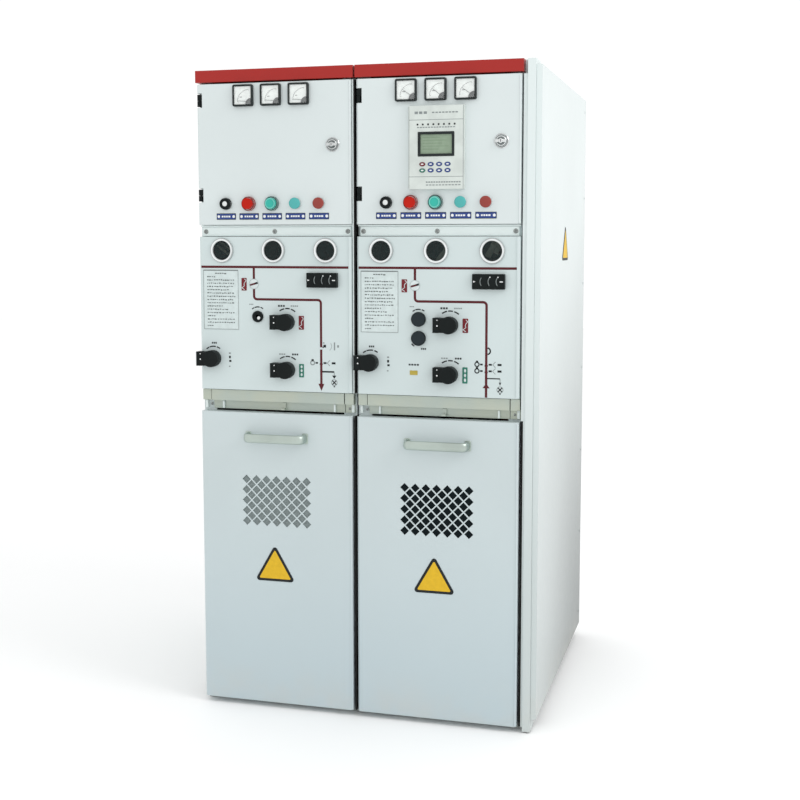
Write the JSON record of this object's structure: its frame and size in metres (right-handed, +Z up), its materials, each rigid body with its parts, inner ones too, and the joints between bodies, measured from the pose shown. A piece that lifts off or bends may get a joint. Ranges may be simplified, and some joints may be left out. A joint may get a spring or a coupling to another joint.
{
  "type": "solid insulated switchgear",
  "caption": "Indoor medium-voltage switchgear cabinets side by side, with instrument doors, mechanism panels and vented cable covers.",
  "frame": {"origin": "middle of the floor outline of the pair, handles included", "axes": "+X right seen from the operator's side, -Y towards the operator, +Z up"},
  "size_m": [0.8896, 0.868, 1.65],
  "materials": {
    "grey_paint": "satin powder coat",
    "body_paint": "fine smooth powder coat",
    "door_paint": "fine smooth powder coat",
    "panel_paint": "fine smooth powder coat",
    "cover_paint": "fine smooth powder coat",
    "red_paint": "gloss paint",
    "zinc": "passivated zinc plating",
    "ring_plastic": "satin anodised",
    "dark_glass": "smoked, clear",
    "epoxy_resin": "cast resin",
    "copper": "bare, slightly dull",
    "black_plastic": "moulded, fine grain",
    "lamp_metal": "satin",
    "relay_plastic": "moulded, fine grain",
    "bright_metal": "polished",
    "red_plastic": "moulded",
    "green_plastic": "moulded",
    "satin_steel": "satin brushed"
  },
  "bodies": {
    "cabinets": {"base_frames": "grey_paint", "floor_plates": "zinc", "side_walls": "body_paint", "rear_panels": "body_paint", "roof_panels": "body_paint", "end_panel": "body_paint", "headers": "red_paint", "instrument_trays": "zinc", "left_mechanism_panel": "panel_paint", "right_mechanism_panel": "panel_paint", "window_rings": "ring_plastic", "window_glasses": "dark_glass", "pole_blocks": "epoxy_resin", "cable_ceilings": "zinc", "earth_bars": "copper", "cross_rails": "zinc", "voltage_indicators": "black_plastic", "operating_sockets": "black_plastic", "hinge_posts": "black_plastic", "cover_pins": "zinc"},
    "left_door": {"left_door": "door_paint", "left_door_hinges": "black_plastic", "left_meters": "black_plastic", "left_lamps": "lamp_metal"},
    "left_lock": {"left_lock": "bright_metal"},
    "left_red_button": {"left_red_button": "red_plastic"},
    "left_green_button": {"left_green_button": "green_plastic"},
    "left_upper_knob": {"left_upper_knob": "black_plastic"},
    "left_side_knob": {"left_side_knob": "black_plastic"},
    "left_lower_knob": {"left_lower_knob": "black_plastic"},
    "left_cover": {"left_cover": "cover_paint", "left_cover_handle": "satin_steel"},
    "right_door": {"right_door": "door_paint", "right_door_hinges": "black_plastic", "right_meters": "black_plastic", "right_lamps": "lamp_metal", "right_relay": "relay_plastic"},
    "right_lock": {"right_lock": "bright_metal"},
    "right_red_button": {"right_red_button": "red_plastic"},
    "right_green_button": {"right_green_button": "green_plastic"},
    "right_upper_knob": {"right_upper_knob": "black_plastic"},
    "right_side_knob": {"right_side_knob": "black_plastic"},
    "right_lower_knob": {"right_lower_knob": "black_plastic"},
    "right_cover": {"right_cover": "cover_paint", "right_cover_handle": "satin_steel"}
  },
  "joints": [
    {"name": "left_door_hinge", "type": "hinge", "parent": "cabinets", "child": "left_door", "pos_m": [-0.43475, -0.39, 1.438], "axis": [0, 0, -1], "range_deg": [0, 110]},
    {"name": "left_lock_turn", "type": "hinge", "parent": "left_door", "child": "left_lock", "pos_m": [-0.07675, -0.396, 1.458], "axis": [0, -1, 0], "range_deg": [0, 90]},
    {"name": "left_red_button_push", "type": "slide", "parent": "left_door", "child": "left_red_button", "axis": [0, 1, 0], "range_m": [0, 0.004], "stiffness_N_per_m": 400},
    {"name": "left_green_button_push", "type": "slide", "parent": "left_door", "child": "left_green_button", "axis": [0, 1, 0], "range_m": [0, 0.004], "stiffness_N_per_m": 400},
    {"name": "left_upper_knob_turn", "type": "hinge", "parent": "cabinets", "child": "left_upper_knob", "pos_m": [-0.20175, -0.394, 1.015], "axis": [0, 1, 0], "range_deg": [0, 90]},
    {"name": "left_side_knob_turn", "type": "hinge", "parent": "cabinets", "child": "left_side_knob", "pos_m": [-0.40475, -0.394, 0.918], "axis": [0, 1, 0], "range_deg": [0, 90]},
    {"name": "left_lower_knob_turn", "type": "hinge", "parent": "cabinets", "child": "left_lower_knob", "pos_m": [-0.20175, -0.394, 0.893], "axis": [0, 1, 0], "range_deg": [0, 90]},
    {"name": "left_cover_lift_off", "type": "slide", "parent": "cabinets", "child": "left_cover", "axis": [0, -1, 0], "range_m": [0, 0.25]},
    {"name": "right_door_hinge", "type": "hinge", "parent": "cabinets", "child": "right_door", "pos_m": [-0.00975, -0.39, 1.438], "axis": [0, 0, -1], "range_deg": [0, 110]},
    {"name": "right_lock_turn", "type": "hinge", "parent": "right_door", "child": "right_lock", "pos_m": [0.34825, -0.396, 1.458], "axis": [0, -1, 0], "range_deg": [0, 90]},
    {"name": "right_red_button_push", "type": "slide", "parent": "right_door", "child": "right_red_button", "axis": [0, 1, 0], "range_m": [0, 0.004], "stiffness_N_per_m": 400},
    {"name": "right_green_button_push", "type": "slide", "parent": "right_door", "child": "right_green_button", "axis": [0, 1, 0], "range_m": [0, 0.004], "stiffness_N_per_m": 400},
    {"name": "right_upper_knob_turn", "type": "hinge", "parent": "cabinets", "child": "right_upper_knob", "pos_m": [0.22325, -0.394, 1.015], "axis": [0, 1, 0], "range_deg": [0, 90]},
    {"name": "right_side_knob_turn", "type": "hinge", "parent": "cabinets", "child": "right_side_knob", "pos_m": [0.02025, -0.394, 0.918], "axis": [0, 1, 0], "range_deg": [0, 90]},
    {"name": "right_lower_knob_turn", "type": "hinge", "parent": "cabinets", "child": "right_lower_knob", "pos_m": [0.22325, -0.394, 0.893], "axis": [0, 1, 0], "range_deg": [0, 90]},
    {"name": "right_cover_lift_off", "type": "slide", "parent": "cabinets", "child": "right_cover", "axis": [0, -1, 0], "range_m": [0, 0.25]}
  ]
}
